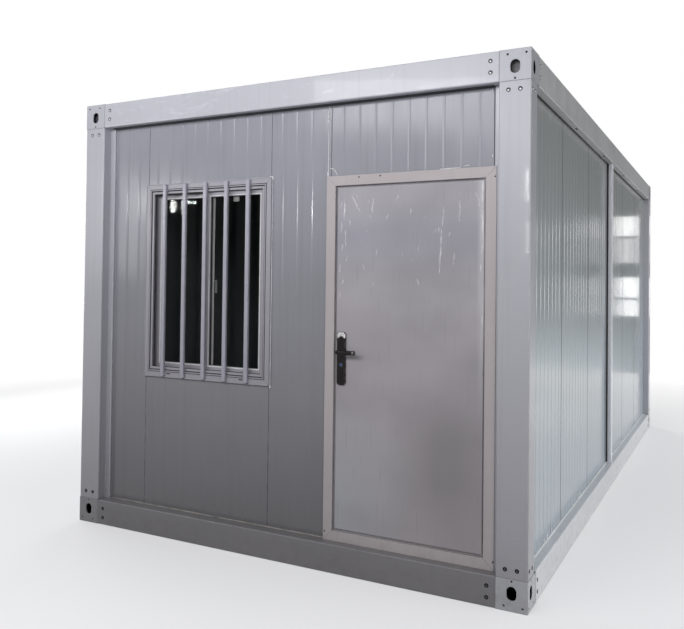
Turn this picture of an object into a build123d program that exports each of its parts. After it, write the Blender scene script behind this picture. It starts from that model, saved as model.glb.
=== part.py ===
from build123d import *
import os

# Flat-pack container cabin: a frame of folded steel posts and beams on corner fittings,
# closed by fluted sandwich panels, with a hinged door and a barred sliding window in front.
# Millimetres. X runs across the width, Y along the length and Z up. The front faces -Y,
# and the origin is the middle of the base. Depths are measured inwards from the outer faces.

# Whole cabin
house_width = 3000
house_length = 5950
house_height = 2800

# Folded steel sheet of the posts and beams
sheet = 4
bend_radius = 7

# Corner fittings, and the posts that stand on them
corner_width = 162
fitting_depth = 170
fitting_height = 160
fitting_wall = 10
slot_width = 50
slot_height = 70
slot_rise = 88
bolt_hole_radius = 6
bolt_hole_sides = 6
bolt_hole_edge = 25
bolt_hole_spacing = 94
bolt_hole_rise = 24
lone_hole_rise = 148
post_side_width = 132
lip_depth = 65
lip_width = 38

# Beams
lower_flange = 80
ceiling_ledge = 30
parapet_width = 45
gutter_drop = 65
gutter_width = 95
gutter_upstand = 30

# Wall panels
panel_thickness = 75
panel_width = 950
panel_joint = 3
front_recess = 80
side_recess = 57
flute_pitch = 100
flute_width = 18
flute_depth = 1.6
flute_margin = 75
flute_edge = 25
rear_panel_count = 3
side_panels_per_bay = 3
corner_tuck = 10

# Side mid posts
mid_post_width = 80
mid_post_depth = 40

# Floor, ceiling and roof
floor_thickness = 18
joist_height = 100
joist_width = 50
joist_count = 9
ceiling_thickness = 12
roof_thickness = 4
roof_overlap = 5
roof_rib_pitch = 470
roof_rib_width = 36
roof_rib_crest = 20
roof_rib_height = 22
slab_gap = 2

# Window
window_offset = 490
window_sill_height = 1005
window_head_height = 403
middle_wall_width = 405
window_overlap = 8
window_face_width = 44
window_face_depth = 66
window_lip_back = 88
window_rebate = 12
sash_member = 62
sash_thickness = 22
sash_lap = 40
sash_gap = 2
track_gap = 3
glass_thickness = 5
glass_setback = 8
latch_width = 26
latch_height = 120
latch_thickness = 8
latch_chamfer = 6
latch_reach = 14
latch_lever_width = 12
latch_lever_length = 33
latch_lever_drop = 76
bar_count = 5
bar_width = 28
bar_thickness = 20
bar_round = 8
bar_end_gap = 8

# Door frame
door_offset = 205
door_opening_width = 950
door_head_height = 433
door_overlap = 18
door_face_width = 56
door_face_depth = 60
door_face_plate = 5
door_stop_depth = 16
door_frame_gap = 2
lip_clearance = 2

# Door leaf
leaf_thickness = 45
leaf_cover = 12
leaf_field_gap = 8
leaf_field_depth = 10
leaf_field_round = 8
leaf_seal_gap = 5
leaf_edge_gap = 5
latch_side_gap = 7

# Hinges
hinge_count = 3
hinge_height = 100
hinge_end_height = 240
hinge_plate = 3
hinge_leaf_width = 45
hinge_tab = 18
knuckle_radius = 7
knuckle_gap = 1
pin_radius = 4
pin_clearance = 0.08
pin_standoff = 8

# Lever handle, its plates and the lock
plate_width = 55
plate_height = 300
plate_thickness = 8
plate_chamfer = 12
plate_drop = 37
lever_backset = 59
lever_height = 1226
lever_drop_to_lock = 73
lever_arm_length = 122
lever_arm_height = 22
lever_arm_thickness = 14
lever_arm_tail = 16
lever_arm_chamfer = 4
lever_reach = 50
neck_radius = 10
neck_clearance = 0.3
lock_radius = 9
lock_proud = 2
leaf_bore_clearance = 2

# One length by which every cut runs past the material
overrun = 20

# Places worked out from the sizes above
left_x = -house_width / 2
right_x = house_width / 2
front_y = -house_length / 2
rear_y = house_length / 2
wall_bottom = fitting_height
wall_top = house_height - fitting_height
front_inner = front_recess + panel_thickness
side_inner = side_recess + panel_thickness
beam_end_x = right_x - corner_width
beam_end_y = rear_y - fitting_depth
side_wall_end = rear_y - post_side_width + corner_tuck
front_wall_end = right_x - side_inner - slab_gap


def block(x_span, y_span, z_span):
    """A box between a low and a high end on each axis."""
    spans = (x_span, y_span, z_span)
    lows = [low for low, high in spans]
    sizes = [high - low for low, high in spans]
    return Pos(*lows) * Box(*sizes, align=(Align.MIN, Align.MIN, Align.MIN))


def prism_x(outline, x_span):
    """An outline drawn in Y and Z, carried along X."""
    return extrude(Plane.YZ.offset(x_span[0]) * outline, x_span[1] - x_span[0])


def prism_y(outline, y_span):
    """An outline drawn in X and Z, carried along Y."""
    return extrude(Plane.XZ.offset(-y_span[1]) * outline, y_span[1] - y_span[0])


def prism_z(outline, z_span):
    """An outline drawn in X and Y, carried along Z."""
    return extrude(Pos(0, 0, z_span[0]) * outline, z_span[1] - z_span[0])


def at_front(near_depth, far_depth):
    """The Y span between two depths behind the front face."""
    return (front_y + near_depth, front_y + far_depth)


def grown(span, amount):
    """A span made longer by the same amount at both ends."""
    return (span[0] - amount, span[1] + amount)


def ring(x_outer, z_outer, x_inner, z_inner, y_span):
    """A rectangular frame that stands in the front wall."""
    hole = block(x_inner, grown(y_span, overrun), z_inner)
    return block(x_outer, y_span, z_outer) - hole


def folded_section(points):
    """The section of a sheet folded square along a line, with its thickness on the left.

    Each bend is round outside and square inside.
    """
    near = [Vector(*point) for point in points]
    runs = [(end - start).normalized() for start, end in zip(near, near[1:])]
    lefts = [Vector(-run.Y, run.X) * sheet for run in runs]
    bends = zip(near[1:-1], lefts, lefts[1:])
    far = [near[0] + lefts[0]]
    far += [corner + before + after for corner, before, after in bends]
    far.append(near[-1] + lefts[-1])
    turns_left = [before.cross(after).Z > 0 for before, after in zip(runs, runs[1:])]
    near_line = FilletPolyline(*near, radius=[bend_radius if left else 0 for left in turns_left])
    far_line = FilletPolyline(*far, radius=[0 if left else bend_radius for left in turns_left])
    ends = [Line(near[0], far[0]), Line(near[-1], far[-1])]
    return make_face([*near_line.edges(), *far_line.edges(), *ends])


def to_right(shape):
    """The same piece on the other side."""
    return mirror(shape, about=Plane.YZ)


def to_rear(shape):
    """The same piece at the other end."""
    return mirror(shape, about=Plane.XZ)


def to_roof(shape):
    """The same piece turned over to the top of the cabin."""
    return mirror(shape, about=Plane.XY.offset(house_height / 2))


def at_four_corners(shape):
    """A piece of the front left corner, at all four corners."""
    front_pair = [shape, to_right(shape)]
    return front_pair + [to_rear(piece) for piece in front_pair]


def corner_fitting():
    """The hollow lower fitting of the front left corner, with a tie slot in both outer faces."""
    x_span = (left_x, left_x + corner_width)
    y_span = (front_y, front_y + fitting_depth)
    z_span = (0, fitting_height)
    hollow = [grown(span, -fitting_wall) for span in (x_span, y_span, z_span)]
    fitting = block(x_span, y_span, z_span) - block(*hollow)
    slot = SlotOverall(slot_height, slot_width, rotation=90)
    hole = RegularPolygon(bolt_hole_radius, bolt_hole_sides)
    second_hole = bolt_hole_edge + bolt_hole_spacing

    def face_cuts(outer_edge, middle):
        places = [
            (outer_edge + bolt_hole_edge, bolt_hole_rise),
            (outer_edge + second_hole, bolt_hole_rise),
            (middle, lone_hole_rise),
        ]
        return [Pos(middle, slot_rise) * slot] + [Pos(*place) * hole for place in places]

    front_cut = (front_y - overrun, front_y + fitting_wall + overrun / 2)
    side_cut = (left_x - overrun, left_x + fitting_wall + overrun / 2)
    for outline in face_cuts(left_x, left_x + corner_width / 2):
        fitting -= prism_y(outline, front_cut)
    for outline in face_cuts(front_y, front_y + post_side_width / 2):
        fitting -= prism_x(outline, side_cut)
    return fitting


def corner_post():
    """The folded front left post: two outer faces, each turned back to hold a wall."""
    line = [
        (side_recess, post_side_width),
        (0, post_side_width),
        (0, 0),
        (corner_width, 0),
        (corner_width, lip_depth),
        (corner_width + lip_width, lip_depth),
        (corner_width + lip_width, front_recess),
    ]
    outline = Pos(left_x, front_y) * folded_section(line)
    return prism_z(outline, (wall_bottom, wall_top))


def bottom_beam_section(inner_depth):
    """A lower beam: the wall stands on its top flange."""
    return folded_section([
        (inner_depth, fitting_height),
        (0, fitting_height),
        (0, 0),
        (lower_flange, 0),
    ])


def top_beam_section(inner_depth):
    """An upper beam: a parapet, a rain gutter behind it and a flange that carries the ceiling."""
    gutter_floor = house_height - gutter_drop
    gutter_back = parapet_width + gutter_width
    return folded_section([
        (gutter_back, gutter_floor + gutter_upstand),
        (gutter_back, gutter_floor),
        (parapet_width, gutter_floor),
        (parapet_width, house_height),
        (0, house_height),
        (0, wall_top),
        (inner_depth + ceiling_ledge, wall_top),
    ])


def front_beam(section):
    """A beam across the front, between two corner fittings."""
    return prism_x(Pos(front_y, 0) * section, (-beam_end_x, beam_end_x))


def left_beam(section):
    """A beam along the left side, between two corner fittings."""
    return prism_y(Pos(left_x, 0) * section, (-beam_end_y, beam_end_y))


def panel_outline(start, end):
    """The section of a sandwich panel, with shallow flutes pressed into its outer skin."""
    points = [(start, 0)]
    count = int((end - start - flute_margin - flute_edge) // flute_pitch) + 1
    for number in range(count):
        middle = start + flute_margin + number * flute_pitch
        points += [
            (middle - flute_width / 2, 0),
            (middle, flute_depth),
            (middle + flute_width / 2, 0),
        ]
    points += [(end, 0), (end, panel_thickness), (start, panel_thickness)]
    return make_face(Polyline(*points, close=True))


front_face = Plane((0, front_y + front_recess, 0), x_dir=(1, 0, 0), z_dir=(0, 0, 1))
rear_face = Plane((0, rear_y - front_recess, 0), x_dir=(-1, 0, 0), z_dir=(0, 0, 1))
right_face = Plane((right_x - side_recess, 0, 0), x_dir=(0, 1, 0), z_dir=(0, 0, 1))
left_face = Plane((left_x + side_recess, 0, 0), x_dir=(0, -1, 0), z_dir=(0, 0, 1))


def panel(face, start, end, z_span):
    """One wall panel that stands on a face of the cabin, between two places along it."""
    placed = face * Pos(0, 0, z_span[0]) * panel_outline(start, end)
    return extrude(placed, z_span[1] - z_span[0], dir=(0, 0, 1))


def panel_row(face, joints):
    """Panels side by side between the given joints, a joint's width apart."""
    half = panel_joint / 2
    last = len(joints) - 2
    panels = []
    for number, (start, end) in enumerate(zip(joints, joints[1:])):
        low = start if number == 0 else start + half
        high = end if number == last else end - half
        panels.append(panel(face, low, high, (wall_bottom, wall_top)))
    return panels


def side_joints(sign):
    """The joints of the panels between the mid post and a corner post, outwards or inwards."""
    places = [panel_joint / 2]
    places += [number * panel_width for number in range(1, side_panels_per_bay)]
    places.append(side_wall_end)
    return sorted(sign * place for place in places)


def mid_post():
    """The folded channel that covers the middle joint of the left wall."""
    back = left_x + side_recess
    front = back - mid_post_depth
    half = mid_post_width / 2
    outline = folded_section([(back, half), (front, half), (front, -half), (back, -half)])
    return prism_z(outline, (wall_bottom, wall_top))


def notched(slab, z_span):
    """A slab with its corners cut clear of the corner fittings."""
    low_x = beam_end_x - slab_gap
    low_y = beam_end_y - slab_gap
    for sign_x in (-1, 1):
        for sign_y in (-1, 1):
            x_span = sorted((sign_x * low_x, sign_x * (right_x + overrun)))
            y_span = sorted((sign_y * low_y, sign_y * (rear_y + overrun)))
            slab -= block(x_span, y_span, grown(z_span, overrun))
    return slab


def inner_slab(z_span):
    """A slab that fills the room from wall to wall."""
    half_x = right_x - side_inner - slab_gap
    half_y = rear_y - front_inner - slab_gap
    return notched(block((-half_x, half_x), (-half_y, half_y), z_span), z_span)


def floor_joists():
    """Folded channels under the floor, from side beam to side beam."""
    top = wall_bottom - floor_thickness
    bottom = top - joist_height
    end = right_x - sheet
    reach = rear_y - fitting_depth - joist_width
    pitch = 2 * reach / (joist_count - 1)
    joists = []
    for number in range(joist_count):
        back = number * pitch - reach - joist_width / 2
        y_span = (back, back + joist_width)
        inside = block((-end, end), (back + sheet, back + joist_width), grown((bottom, top), -sheet))
        joists.append(block((-end, end), y_span, (bottom, top)) - inside)
    return joists


def roof_sheet():
    """The roof between the gutters, with raised ribs from side to side."""
    edge_depth = parapet_width + gutter_width - roof_overlap
    half_x = right_x - edge_depth
    half_y = rear_y - edge_depth
    underside = house_height - gutter_drop + gutter_upstand
    top = underside + roof_thickness
    crest = top + roof_rib_height
    rib_reach = int((half_y - roof_rib_width) // roof_rib_pitch)
    points = [(-half_y, underside), (-half_y, top)]
    for number in range(-rib_reach, rib_reach + 1):
        middle = number * roof_rib_pitch
        points += [
            (middle - roof_rib_width / 2, top),
            (middle - roof_rib_crest / 2, crest),
            (middle + roof_rib_crest / 2, crest),
            (middle + roof_rib_width / 2, top),
        ]
    points += [(half_y, top), (half_y, underside)]
    sheet_outline = make_face(Polyline(*points, close=True))
    return notched(prism_x(sheet_outline, (-half_x, half_x)), (underside, crest))


# The frame: fittings, posts and beams
lower_fitting = corner_fitting()
lower_fittings = at_four_corners(lower_fitting)
upper_fittings = at_four_corners(to_roof(lower_fitting))
posts = at_four_corners(corner_post())
front_bottom_beam = front_beam(bottom_beam_section(front_inner))
left_bottom_beam = left_beam(bottom_beam_section(side_inner))
front_top_beam = front_beam(top_beam_section(front_inner))
left_top_beam = left_beam(top_beam_section(side_inner))
left_mid_post = mid_post()

# Floor, ceiling and roof
floor_board = inner_slab((wall_bottom - floor_thickness, wall_bottom))
ceiling_bottom = wall_top + sheet
ceiling_panel = inner_slab((ceiling_bottom, ceiling_bottom + ceiling_thickness))

# The front wall, split at the window and the doorway
door_x = (right_x - door_offset - door_opening_width, right_x - door_offset)
door_z = (wall_bottom, wall_top - door_head_height)
window_x = (left_x + window_offset, door_x[0] - middle_wall_width)
window_z = (window_sill_height, wall_top - window_head_height)
full_height = (wall_bottom, wall_top)
half_joint = panel_joint / 2
column_x = grown(window_x, -half_joint)
head_x = grown(door_x, -half_joint)
front_wall_left = panel(front_face, -front_wall_end, window_x[0] - half_joint, full_height)
front_wall_under_window = panel(front_face, *column_x, (wall_bottom, window_z[0]))
front_wall_over_window = panel(front_face, *column_x, (window_z[1], wall_top))
front_wall_middle = panel(front_face, window_x[1] + half_joint, door_x[0] - half_joint, full_height)
front_wall_over_door = panel(front_face, *head_x, (door_z[1], wall_top))
front_wall_right = panel(front_face, door_x[1] + half_joint, front_wall_end, full_height)

# The plain walls
rear_panel_width = 2 * front_wall_end / rear_panel_count
rear_joints = [number * rear_panel_width - front_wall_end for number in range(rear_panel_count + 1)]
rear_wall = panel_row(rear_face, rear_joints)
right_wall_front = panel_row(right_face, side_joints(-1))
right_wall_rear = panel_row(right_face, side_joints(1))
left_wall_front = panel_row(left_face, side_joints(1))
left_wall_rear = panel_row(left_face, side_joints(-1))

# The window frame: a face that laps the wall, and a body with a rebate for the sashes
face_x = grown(window_x, window_overlap)
face_z = grown(window_z, window_overlap)
clear_x = grown(face_x, -window_face_width)
clear_z = grown(face_z, -window_face_width)
rebate_x = grown(clear_x, window_rebate)
rebate_z = grown(clear_z, window_rebate)
body_x = grown(window_x, -slab_gap)
body_z = window_z
window_frame = ring(face_x, face_z, clear_x, clear_z, at_front(window_face_depth, front_recess))
window_frame += ring(body_x, body_z, clear_x, clear_z, at_front(front_recess, window_lip_back))
window_frame += ring(body_x, body_z, rebate_x, rebate_z, at_front(window_lip_back, front_inner))

# The two sashes run in their own tracks, and their narrow meeting stiles lap in the middle
window_middle = (window_x[0] + window_x[1]) / 2
outer_track = window_lip_back + track_gap
inner_track = outer_track + sash_thickness + track_gap
sash_z = (rebate_z[0], rebate_z[1] - sash_gap)
right_sash_x = (window_middle - sash_lap / 2, rebate_x[1])
left_sash_x = (rebate_x[0], window_middle + sash_lap / 2)


def sash(x_span, pane_x, near_depth):
    """One sash of four members, with the pane that it holds."""
    pane_z = grown(sash_z, -sash_member)
    depths = at_front(near_depth, near_depth + sash_thickness)
    pane_near = near_depth + glass_setback
    pane = block(pane_x, at_front(pane_near, pane_near + glass_thickness), pane_z)
    return ring(x_span, sash_z, pane_x, pane_z, depths), pane


right_pane_x = (right_sash_x[0] + sash_lap, right_sash_x[1] - sash_member)
left_pane_x = (left_sash_x[0] + sash_member, left_sash_x[1] - sash_lap)
window_sash_right, window_glass_right = sash(right_sash_x, right_pane_x, outer_track)
window_sash_left, window_glass_left = sash(left_sash_x, left_pane_x, inner_track)

# The latch, on the room side of the stile where the sashes meet
latch_x = left_sash_x[1] - sash_lap / 2
latch_z = (sash_z[0] + sash_z[1]) / 2
latch_seat = inner_track + sash_thickness
latch_y = at_front(latch_seat, latch_seat + latch_thickness)
lever_y = at_front(latch_seat + latch_thickness, latch_seat + latch_reach)
latch_lever_x = (latch_x - latch_lever_width / 2, latch_x + latch_lever_length)
latch_lever_z = (latch_z - latch_lever_drop, latch_z + latch_lever_width / 2)
latch_base = Pos(latch_x, latch_z) * Rectangle(latch_width, latch_height)
window_latch = prism_y(chamfer(latch_base.vertices(), latch_chamfer), latch_y)
window_latch += block(latch_lever_x, lever_y, (latch_z - latch_lever_width / 2, latch_lever_z[1]))
window_latch += block((latch_lever_x[1] - latch_lever_width, latch_lever_x[1]), lever_y, latch_lever_z)


def security_bar(middle_x):
    """One bar across the window: flat on the frame's face, with a rounded front."""
    length = face_z[1] - face_z[0] - 2 * bar_end_gap
    near_y = front_y + window_face_depth - bar_thickness
    bar = block(
        (middle_x - bar_width / 2, middle_x + bar_width / 2),
        (near_y, near_y + bar_thickness),
        (face_z[0] + bar_end_gap, face_z[0] + bar_end_gap + length),
    )
    front_edges = bar.faces().sort_by(Axis.Y)[0].edges().filter_by(Axis.Z)
    return fillet(front_edges, bar_round)


bar_pitch = (face_x[1] - face_x[0]) / (bar_count + 1)
window_bars = [security_bar(face_x[0] + number * bar_pitch) for number in range(1, bar_count + 1)]

# The door frame: a face plate with turned edges, jambs in the opening and a stop for the leaf
plate_x = grown(door_x, door_overlap)
plate_z = (door_z[0], door_z[1] + door_overlap)
stop_x = grown(plate_x, -door_face_width)
stop_z = grown(plate_z, -door_face_width)
leaf_x = grown(stop_x, leaf_cover)
leaf_z = grown(stop_z, leaf_cover)
jamb_x = (leaf_x[0] - latch_side_gap, leaf_x[1] + leaf_edge_gap)
jamb_z = grown(leaf_z, leaf_edge_gap)
frame_body_x = grown(door_x, -door_frame_gap)
frame_body_z = (door_z[0], door_z[1] - door_frame_gap)
plate_back = door_face_depth + door_face_plate
stop_back = door_face_depth + door_stop_depth
leaf_near = stop_back + leaf_seal_gap
leaf_far = leaf_near + leaf_thickness
jamb_back = leaf_far - slab_gap
post_lip_end = right_x - corner_width - lip_width
turned_edge = plate_z[1] - door_face_plate
door_frame = ring(plate_x, plate_z, stop_x, stop_z, at_front(door_face_depth, plate_back))
door_frame += ring(frame_body_x, frame_body_z, stop_x, stop_z, at_front(plate_back, stop_back))
door_frame += ring(frame_body_x, frame_body_z, jamb_x, jamb_z, at_front(stop_back, jamb_back))
door_frame += block(
    (plate_x[0], plate_x[0] + door_face_plate),
    at_front(plate_back, front_recess),
    plate_z,
)
door_frame += block(
    (plate_x[0], post_lip_end - lip_clearance),
    at_front(plate_back, front_recess),
    (turned_edge, plate_z[1]),
)

# The leaf, bored for the lever's neck and for the lock
lever_x = leaf_x[0] + lever_backset
lock_height = lever_height - lever_drop_to_lock
leaf_front = door_face_depth + leaf_field_depth
leaf_y = at_front(leaf_front, leaf_far)
field = block(grown(stop_x, -leaf_field_gap), leaf_y, grown(stop_z, -leaf_field_gap))
field = fillet(field.faces().sort_by(Axis.Y)[0].edges(), leaf_field_round)
door_leaf = block(leaf_x, at_front(leaf_near, leaf_far), leaf_z) + field
neck_place = Pos(lever_x, lever_height)
lock_place = Pos(lever_x, lock_height)
door_leaf -= prism_y(neck_place * Circle(neck_radius + leaf_bore_clearance), grown(leaf_y, overrun))
door_leaf -= prism_y(lock_place * Circle(lock_radius + neck_clearance), grown(leaf_y, overrun))


def handle_plate(y_span):
    """A long plate with clipped corners, bored for the lever and the lock."""
    outline = Pos(lever_x, lever_height - plate_drop) * Rectangle(plate_width, plate_height)
    outline = chamfer(outline.vertices(), plate_chamfer)
    plate = prism_y(outline, y_span)
    plate -= prism_y(neck_place * Circle(neck_radius + neck_clearance), grown(y_span, overrun))
    return plate - prism_y(lock_place * Circle(lock_radius + neck_clearance), grown(y_span, overrun))


def lever_arm(y_span):
    """The grip of the lever, from just behind its neck towards the hinges."""
    tail_x = lever_x - lever_arm_tail
    half_height = lever_arm_height / 2
    z_span = (lever_height - half_height, lever_height + half_height)
    arm = block((tail_x, tail_x + lever_arm_length), y_span, z_span)
    return chamfer(arm.edges(), lever_arm_chamfer)


outer_plate_y = at_front(leaf_front - plate_thickness, leaf_front)
inner_plate_y = at_front(leaf_far, leaf_far + plate_thickness)
handle_plates = [handle_plate(outer_plate_y), handle_plate(inner_plate_y)]
outer_grip = outer_plate_y[0] - lever_reach
inner_grip = inner_plate_y[1] + lever_reach
neck_y = (outer_grip + lever_arm_thickness / 2, inner_grip - lever_arm_thickness / 2)
door_lever = prism_y(neck_place * Circle(neck_radius), neck_y)
door_lever += lever_arm((outer_grip, outer_grip + lever_arm_thickness))
door_lever += lever_arm((inner_grip - lever_arm_thickness, inner_grip))
lock_y = (outer_plate_y[0] - lock_proud, inner_plate_y[1] + lock_proud)
lock_cylinder = prism_y(lock_place * Circle(lock_radius), lock_y)

# Lift-off hinges on the room side: the frame's half carries the pin
hinge_x = leaf_x[1] + leaf_edge_gap / 2
hinge_y = front_y + leaf_far + pin_standoff
hinge_first = leaf_z[0] + hinge_end_height
hinge_last = leaf_z[1] - hinge_end_height
hinge_step = (hinge_last - hinge_first) / (hinge_count - 1)
hinge_heights = [hinge_first + number * hinge_step for number in range(hinge_count)]


def frame_hinge(middle):
    """The lower knuckle with its pin, on a tab that sits on the jamb."""
    lower = (middle - hinge_height / 2, middle - knuckle_gap / 2)
    whole = (middle - hinge_height / 2, middle + hinge_height / 2)
    tab_x = (hinge_x + leaf_edge_gap / 2, hinge_x + hinge_tab)
    tab_back = jamb_back + pin_standoff + slab_gap
    half = block(tab_x, at_front(jamb_back, tab_back), lower)
    half += prism_z(Pos(hinge_x, hinge_y) * Circle(knuckle_radius), lower)
    return half + prism_z(Pos(hinge_x, hinge_y) * Circle(pin_radius), whole)


def leaf_hinge(middle):
    """The upper knuckle, turned on the pin, with its plate flat on the leaf."""
    upper = (middle + knuckle_gap / 2, middle + hinge_height / 2)
    whole = (middle - hinge_height / 2, middle + hinge_height / 2)
    plate_near = leaf_far
    plate_y = at_front(plate_near, plate_near + hinge_plate)
    plate_end = hinge_x - knuckle_radius - knuckle_gap
    half = block((plate_end - hinge_leaf_width, plate_end), plate_y, whole)
    half += block((plate_end, hinge_x), plate_y, upper)
    half += prism_z(Pos(hinge_x, hinge_y) * Circle(knuckle_radius), upper)
    bore = prism_z(Pos(hinge_x, hinge_y) * Circle(pin_radius + pin_clearance), grown(upper, overrun))
    return half - bore


frame_hinges = [frame_hinge(height) for height in hinge_heights]
leaf_hinges = [leaf_hinge(height) for height in hinge_heights]

corners = ["front_left", "front_right", "rear_left", "rear_right"]
nodes = {"corner_post_" + corner: [post] for corner, post in zip(corners, posts)}
nodes |= {
    "lower_corner_fittings": lower_fittings,
    "upper_corner_fittings": upper_fittings,
    "front_bottom_beam": [front_bottom_beam],
    "rear_bottom_beam": [to_rear(front_bottom_beam)],
    "left_bottom_beam": [left_bottom_beam],
    "right_bottom_beam": [to_right(left_bottom_beam)],
    "front_top_beam": [front_top_beam],
    "rear_top_beam": [to_rear(front_top_beam)],
    "left_top_beam": [left_top_beam],
    "right_top_beam": [to_right(left_top_beam)],
    "left_mid_post": [left_mid_post],
    "right_mid_post": [to_right(left_mid_post)],
    "floor_board": [floor_board],
    "floor_joists": floor_joists(),
    "ceiling_panel": [ceiling_panel],
    "roof_sheet": [roof_sheet()],
    "front_wall_left": [front_wall_left],
    "front_wall_under_window": [front_wall_under_window],
    "front_wall_over_window": [front_wall_over_window],
    "front_wall_middle": [front_wall_middle],
    "front_wall_over_door": [front_wall_over_door],
    "front_wall_right": [front_wall_right],
    "rear_wall_panels": rear_wall,
    "right_wall_front_panels": right_wall_front,
    "right_wall_rear_panels": right_wall_rear,
    "left_wall_front_panels": left_wall_front,
    "left_wall_rear_panels": left_wall_rear,
    "window_frame": [window_frame],
    "window_sash_left": [window_sash_left],
    "window_sash_right": [window_sash_right],
    "window_glass_left": [window_glass_left],
    "window_glass_right": [window_glass_right],
    "window_latch": [window_latch],
    "window_security_bars": window_bars,
    "door_frame": [door_frame],
    "door_frame_hinges": frame_hinges,
    "door_leaf": [door_leaf],
    "door_leaf_hinges": leaf_hinges,
    "door_handle_plates": handle_plates,
    "door_lever": [door_lever],
    "door_lock": [lock_cylinder],
}

os.makedirs("parts", exist_ok=True)
for name, pieces in nodes.items():
    shape = pieces[0] if len(pieces) == 1 else Compound(children=pieces)
    export_step(shape, "parts/" + name + ".step")
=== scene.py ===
import math

import bmesh
import bpy
from mathutils import Matrix, Vector, noise


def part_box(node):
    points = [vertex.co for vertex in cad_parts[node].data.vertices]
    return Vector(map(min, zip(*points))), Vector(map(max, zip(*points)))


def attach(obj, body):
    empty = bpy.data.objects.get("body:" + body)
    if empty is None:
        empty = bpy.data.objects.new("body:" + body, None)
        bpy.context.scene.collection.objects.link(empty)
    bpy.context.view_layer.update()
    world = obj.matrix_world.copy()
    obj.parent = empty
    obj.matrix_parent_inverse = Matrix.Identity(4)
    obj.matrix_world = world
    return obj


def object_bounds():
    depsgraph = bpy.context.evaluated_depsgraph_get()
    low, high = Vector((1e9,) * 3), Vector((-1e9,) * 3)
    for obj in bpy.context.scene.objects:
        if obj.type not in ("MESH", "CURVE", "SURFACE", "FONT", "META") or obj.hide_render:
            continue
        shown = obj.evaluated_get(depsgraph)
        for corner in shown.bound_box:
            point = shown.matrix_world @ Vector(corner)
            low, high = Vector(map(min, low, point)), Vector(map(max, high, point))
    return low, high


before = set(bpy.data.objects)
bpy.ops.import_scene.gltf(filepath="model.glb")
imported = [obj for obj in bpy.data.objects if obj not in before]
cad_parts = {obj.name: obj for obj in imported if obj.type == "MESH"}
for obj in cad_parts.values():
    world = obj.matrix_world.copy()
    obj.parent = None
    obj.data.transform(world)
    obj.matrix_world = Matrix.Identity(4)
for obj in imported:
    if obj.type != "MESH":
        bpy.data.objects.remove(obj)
cad_low, cad_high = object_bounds()

# The looks of a flat-pack container cabin: paints, glass and metals for the CAD nodes, and
# the bolts, screws, seams, seals, sealant and scratches that the CAD model leaves out.
# Metres. X runs across the width, Y along the length, Z up, and the front faces -Y.
# Depths are measured inwards from the outer faces. The profile of a turned form holds pairs
# of radius and height, where the radius may be a share of the form's own.

# Camera, as fitted to the photograph
image_width = 684
image_height = 629
focal_pixels = 769.1
principal_x = 321.1
principal_y = 269.7
camera_place = Vector((2.399, -6.800, 1.603))
camera_yaw = math.radians(-28.43)
camera_pitch = math.radians(1.14)
camera_roll = math.radians(0.71)
sensor_width = 36.0

# Places read from the frame
half_width, half_length, house_height = cad_high
front_y = cad_low.y
post_low, post_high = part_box("corner_post_front_left")
wall_bottom = post_low.z
wall_top = post_high.z
corner_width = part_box("front_bottom_beam")[0].x + half_width
fitting_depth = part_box("left_bottom_beam")[0].y + half_length
lip_end = -post_high.x
front_wall_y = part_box("front_wall_left")[0].y
side_wall_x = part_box("right_wall_front_panels")[1].x
mid_post_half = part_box("right_mid_post")[1].y
door_low, door_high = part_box("door_frame")
window_low, window_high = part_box("window_frame")
post_side_width = 0.132
wall_end_y = half_length - post_side_width
corner_signs = [(x, y) for x in (-1, 1) for y in (-1, 1)]

# Directions and common finishes of the added pieces
forwards = (0, -1, 0)
upwards = (0, 0, 1)
quarter_turn = Matrix.Rotation(math.pi / 2, 4, "Z")
edge_break = 0.001
fine_sides, ring_sides, rose_sides = 12, 24, 28

# Bolts of the frame
bolt_radius = 0.0105
bolt_head_radius = 0.0058
bolt_drop = 0.0016
bolt_from_joint = 0.044
beam_bolt_rises = (0.047, 0.106)
front_post_bolts = (0.054, 0.114)
front_beam_bolt = 0.207
side_post_bolts = (0.031, 0.087)
side_beam_bolt = 0.205
recess_profile = ((0, -0.001), (1.06, -0.001), (1.06, 0.0003), (1.0, 0.0007), (0.74, 0.0002), (0, 0.0002))
head_profile = ((0, -0.001), (1.0, -0.001), (1.0, 0.0008), (0.8, 0.0019), (0.5, 0.0023))
head_profile += ((0.42, 0.0023), (0.36, 0.0008), (0, 0.0006))

# Plates inside the corner fittings, and how far behind their faces the painted shade of the fittings'
# insides begins
liner_half_height = 0.068
end_liner_insets = (0.034, 0.150)
end_liner_depths = (0.044, 0.048)
side_liner_insets = (0.012, 0.158)
side_liner_depths = (0.028, 0.032)
inside_shade_depths = (0.0008, 0.0015)
end_wall_depths = (0.0095, 0.0105)

# Seams, joint lines, seals and gaskets
seam_width = 0.0022
seam_proud = 0.0004
seam_end = 0.004
seam_inset = 0.003
joint_line_width = 0.010
joint_rise = 0.012
side_joints = (-1.9, -0.95, 0.95, 1.9)
gasket_drop = 0.004
front_gasket_depths = (0.045, 0.079)
side_gasket_width = 0.012
seal_sink = 0.0005
post_seal_width = 0.009
post_seal_proud = 0.012

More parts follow.
